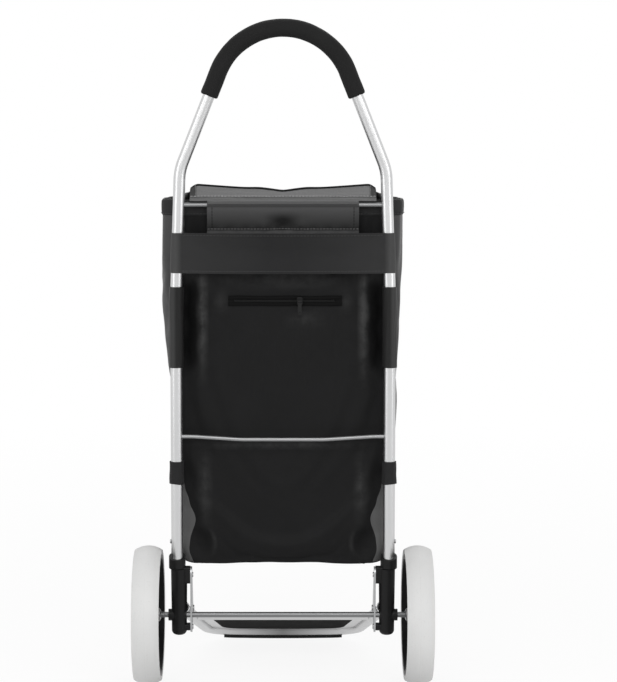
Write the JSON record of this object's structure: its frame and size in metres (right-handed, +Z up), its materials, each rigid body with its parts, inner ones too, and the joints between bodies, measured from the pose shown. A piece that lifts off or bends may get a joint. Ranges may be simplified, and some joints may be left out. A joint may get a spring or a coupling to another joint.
{
  "type": "shopping trolley on wheels",
  "caption": "Upright two-wheeled shopping trolley: tube frame with a foam arch handle, hanging fabric bag with lid and zip pocket, light tyres and a fold-up front foot.",
  "frame": {"origin": "on the ground below the middle of the whole trolley", "axes": "+X to the right seen from the handle side, +Y forward from the handle to the bag, +Z up"},
  "size_m": [0.429, 0.3816, 0.9562],
  "materials": {
    "anodised_tube": "satin anodised",
    "grip_foam": "matte closed-cell foam",
    "steel_rod": "zinc plated",
    "bracket_plastic": "fine moulded texture",
    "plate_steel": "zinc plated",
    "fastener_steel": "plain",
    "pad_rubber": "matte",
    "tyre_grey": "matte moulded",
    "hub_plastic": "fine moulded texture",
    "bush_nylon": "smooth",
    "bag_cloth": "coated plain weave",
    "hem_cloth": "plain weave, stitched",
    "zip_tape": "woven tape",
    "zip_metal": "black enamel",
    "lid_cloth": "coated plain weave"
  },
  "bodies": {
    "frame": {"axle": "steel_rod", "axle_push_nuts": "fastener_steel", "back_band": "hem_cloth", "bag_back_panel": "bag_cloth", "bag_base": "bag_cloth", "bag_front_panel": "bag_cloth", "bag_left_gusset": "bag_cloth", "bag_right_gusset": "bag_cloth", "bag_rim_hem": "hem_cloth", "foot_pins": "fastener_steel", "handle_grip": "grip_foam", "handle_tube": "anodised_tube", "hanger_flap": "hem_cloth", "left_bracket": "bracket_plastic", "left_loop": "hem_cloth", "left_side_plate": "plate_steel", "left_sleeve": "hem_cloth", "left_upright": "anodised_tube", "mid_rod": "steel_rod", "plate_rivets": "fastener_steel", "pocket_zip": "zip_tape", "right_bracket": "bracket_plastic", "right_loop": "hem_cloth", "right_side_plate": "plate_steel", "right_sleeve": "hem_cloth", "right_upright": "anodised_tube", "top_rod": "steel_rod", "tube_ferrules": "anodised_tube", "tube_rivets": "fastener_steel"},
    "left_wheel": {"left_tyre": "tyre_grey", "left_hub": "hub_plastic", "left_bushes": "bush_nylon", "left_hub_cap": "hub_plastic"},
    "right_wheel": {"right_tyre": "tyre_grey", "right_hub": "hub_plastic", "right_bushes": "bush_nylon", "right_hub_cap": "hub_plastic"},
    "foot": {"foot_tube": "anodised_tube", "foot_cross_bar": "anodised_tube", "foot_flange": "anodised_tube", "foot_plate": "bracket_plastic", "foot_pad": "pad_rubber", "foot_arm_plugs": "bracket_plastic"},
    "lid": {"lid_panel": "lid_cloth"},
    "zip_slider": {"zip_slider": "zip_metal"},
    "zip_pull": {"zip_pull": "zip_metal"}
  },
  "joints": [
    {"name": "left_wheel_spin", "type": "hinge", "parent": "frame", "child": "left_wheel", "pos_m": [-0.195, -0.09083, 0.1], "axis": [1, 0, 0], "continuous": true},
    {"name": "right_wheel_spin", "type": "hinge", "parent": "frame", "child": "right_wheel", "pos_m": [0.195, -0.09083, 0.1], "axis": [1, 0, 0], "continuous": true},
    {"name": "foot_fold", "type": "hinge", "parent": "frame", "child": "foot", "pos_m": [0, -0.06283, 0.103], "axis": [1, 0, 0], "range_deg": [0, 100], "deforming": ["bag_front_panel", "bag_left_gusset", "bag_right_gusset", "bag_base"]},
    {"name": "lid_hinge", "type": "hinge", "parent": "frame", "child": "lid", "pos_m": [0, -0.06683, 0.7033], "axis": [1, 0, 0], "range_deg": [0, 90]},
    {"name": "zip_slide", "type": "slide", "parent": "frame", "child": "zip_slider", "axis": [1, 0, 0], "range_m": [-0.0908, 0.0488]},
    {"name": "zip_pull_swing", "type": "hinge", "parent": "zip_slider", "child": "zip_pull", "pos_m": [0.024, -0.08543, 0.5555], "axis": [-1, 0, 0], "range_deg": [0, 150]}
  ]
}
